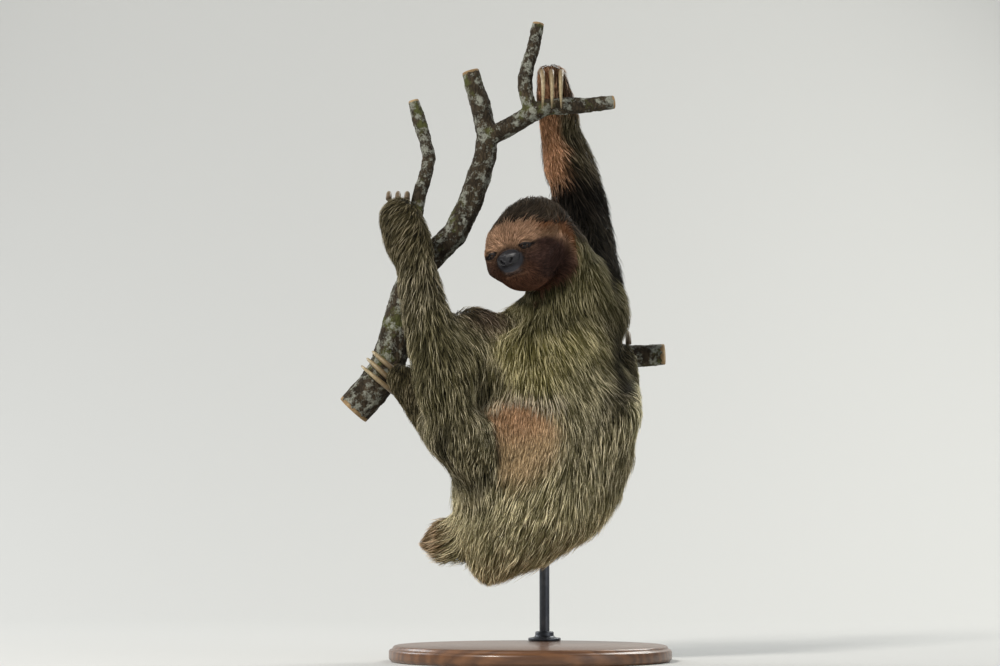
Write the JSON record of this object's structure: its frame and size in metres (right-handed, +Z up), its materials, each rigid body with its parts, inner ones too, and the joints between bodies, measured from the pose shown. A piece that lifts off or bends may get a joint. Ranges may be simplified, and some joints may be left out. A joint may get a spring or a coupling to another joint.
{
  "type": "three-toed sloth display model",
  "caption": "Life-size museum model of a three-toed sloth hanging upright from a short cut forked branch, on a round display stand.",
  "frame": {"origin": "centre of the stand's underside", "axes": "+Z up, -Y the way the belly faces, +X the animal's left side"},
  "size_m": [0.4155, 0.35, 0.8034],
  "materials": {
    "coat": "long coarse strands, grey-brown with a yellow-green algae bloom on the chest and shoulders",
    "face_coat": "short dense fur, orange-brown brow and rim, maroon-brown eye stripe and cheek",
    "tail_coat": "short brown fur",
    "nose_leather": "bare slate-grey skin, faintly moist",
    "eye": "dark brown, wet gloss",
    "claw": "horn, yellow-brown, satin",
    "bark": "rough bark with grey-green lichen, pale sawn ends",
    "stand_wood": "turned walnut, satin varnish",
    "stand_steel": "black satin enamel"
  },
  "bodies": {
    "root": {"head": "face_coat", "neck": "coat", "trunk": "coat", "tail": "tail_coat", "nose": "nose_leather", "eye_left": "eye", "eye_right": "eye", "upper_arm_left": "coat", "forearm_left": "coat", "hand_left": "coat", "thigh_left": "coat", "shin_left": "coat", "foot_left": "coat", "upper_arm_right": "coat", "forearm_right": "coat", "hand_right": "coat", "thigh_right": "coat", "shin_right": "coat", "foot_right": "coat", "claw_hand_left_1": "claw", "claw_hand_left_2": "claw", "claw_hand_left_3": "claw", "claw_hand_right_1": "claw", "claw_hand_right_2": "claw", "claw_hand_right_3": "claw", "claw_foot_left_1": "claw", "claw_foot_left_2": "claw", "claw_foot_left_3": "claw", "claw_foot_right_1": "claw", "claw_foot_right_2": "claw", "claw_foot_right_3": "claw", "perch_limb": "bark", "perch_cross": "bark", "perch_fork": "bark", "perch_stem": "bark", "perch_side": "bark", "perch_spur": "bark", "stand_base": "stand_wood", "stand_collar": "stand_steel", "stand_rod": "stand_steel", "stand_saddle": "stand_steel"}
  },
  "joints": []
}
